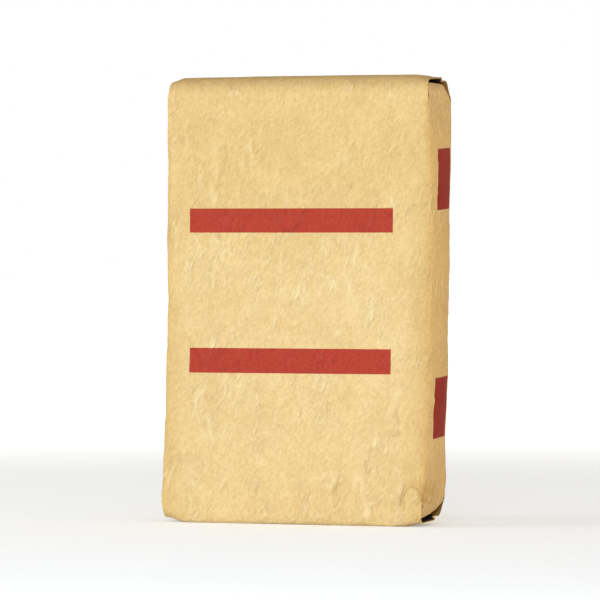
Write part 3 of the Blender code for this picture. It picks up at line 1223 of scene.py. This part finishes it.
cement, tree, shader = new_material("cement_mix")
place = object_place(tree)
powder = use_group(tree, fibre, "powder", {"Position": place} | POWDER)
grains = node(tree, "ShaderNodeTexVoronoi", "sand grains", {"Vector": place, "Scale": GRAIN_SCALE})
grains = grains.outputs["Distance"]
rough = ramp(tree, "roughness", grains, *POWDER_ROUGHNESS)
grained = relief(tree, "grain relief", grains, *POWDER_RELIEF)
feed(tree, shader, {"Base Color": powder["Color"], "Roughness": rough, "Normal": grained})
fill.data.materials.append(cement)
print("cement mix:", len(tree.nodes), "nodes")

# %% [markdown]
# ## Camera
# The photograph was taken from some way off, a little to the right of the sack and at about
# two thirds of its height, so a long lens stands on that side.

# %% Camera
AZIMUTH = math.radians(19.0)
ELEVATION = math.radians(0.8)
DISTANCE = 6.0
SENSOR = 36.0
PIXELS_PER_METRE = 786.6
FRAME_PIXELS = 600
SHIFT_PIXELS = (-4.9, 0.6)
TARGET = Vector((0.0, 0.0, MIDDLE))


def direction(azimuth, elevation):
    """The way from the target to a camera or lamp: azimuth 0 is in front of the sack."""
    level = math.cos(elevation)
    return Vector((math.sin(azimuth) * level, -math.cos(azimuth) * level, math.sin(elevation)))


def aim(name, data, way, distance):
    """Puts a camera or lamp at a distance from the target and points it there."""
    made = bpy.data.objects.new(name, data)
    bpy.context.scene.collection.objects.link(made)
    made.location = TARGET + way * distance
    made.rotation_euler = way.to_track_quat("Z", "Y").to_euler()
    return made


lens = bpy.data.cameras.new("camera")
lens.sensor_width = SENSOR
lens.lens = SENSOR * DISTANCE * PIXELS_PER_METRE / FRAME_PIXELS
lens.shift_x, lens.shift_y = (pixels / FRAME_PIXELS for pixels in SHIFT_PIXELS)
bpy.context.scene.camera = aim("camera", lens, direction(AZIMUTH, ELEVATION), DISTANCE)
print(f"lens {lens.lens:.0f} mm at {DISTANCE} m")

# %% [markdown]
# ## Light and floor
# The sack stands on a white table in even studio light. Most of it comes from all round, a
# little warm and dimmer overhead. A large soft lamp beside the camera lights the front, a
# weaker one from the left rakes over it, which brings out the crumples, and a faint warm one
# fills in the side panel. To the camera's eye the sky is lifted to white, and so is the table,
# more and more with the distance, but this extra light doesn't fall on the sack.

# %% Sky
SKY_COLOUR = (1.0, 0.93, 0.83, 1.0)
SKY_LIGHT = 0.91
ZENITH_LIGHT = 0.45
DIMMING = (0.1, 1.0)

world = bpy.data.worlds.new("studio")
bpy.context.scene.world = world
world.use_nodes = True
tree = world.node_tree
sky = tree.nodes["Background"].inputs
way = node(tree, "ShaderNodeTexCoord", "direction").outputs["Generated"]
dome = ramp(tree, "dimmer overhead", split(tree, "way", way)[2], *DIMMING, SKY_LIGHT, ZENITH_LIGHT)
seen = camera_ray(tree)
unseen = sum_node(tree, "SUBTRACT", "unseen", 1.0, seen)
strength = sum_node(tree, "MULTIPLY_ADD", "sky strength", dome, unseen, seen)
colour = mix_colours(tree, "sky colour", seen, SKY_COLOUR, WHITE)
feed(tree, sky, {"Strength": strength, "Color": colour})

# %% Floor
FLOOR_SIZE = 60
FLOOR = {"Base Color": (0.88, 0.93, 1.0, 1.0), "Roughness": 0.9, "Specular IOR Level": 0.0}
FLOOR_LIFT = 0.26
FAR_FLOOR_LIFT = 0.7
FAR_FLOOR = (1.0, 3.5)

bpy.ops.object.select_all(action="DESELECT")
bpy.ops.mesh.primitive_plane_add(size=FLOOR_SIZE, location=(0, 0, 0))
floor = bpy.context.object
floor.name = "floor"
table, tree, shader = new_material("light_table")
how_far = vector_node(tree, "LENGTH", "how far", object_place(tree))
lift = ramp(tree, "lift", how_far, *FAR_FLOOR, FLOOR_LIFT, FAR_FLOOR_LIFT)
lift = sum_node(tree, "MULTIPLY", "seen lift", camera_ray(tree), lift)
feed(tree, shader, FLOOR | {"Emission Color": WHITE, "Emission Strength": lift})
floor.data.materials.append(table)

# %% Lamps
# Name, azimuth and elevation in degrees, power in watts, size in metres, and colour
LAMPS = (
    ("key", 12, 3, 31, 0.9, (0.79, 0.9, 1.0)),
    ("rake", -64, 14, 20, 0.7, (0.86, 0.93, 1.0)),
    ("fill", 76, 2, 8, 1.2, (1.0, 0.64, 0.42)),
)
LAMP_DISTANCE = 3.0

for name, azimuth, elevation, power, size, colour in LAMPS:
    lamp = bpy.data.lights.new(name, "AREA")
    lamp.size = size
    lamp.energy = power
    lamp.color = colour
    aim(name, lamp, direction(math.radians(azimuth), math.radians(elevation)), LAMP_DISTANCE)
bpy.context.scene.view_settings.view_transform = "Standard"
print("lamps:", len(LAMPS))
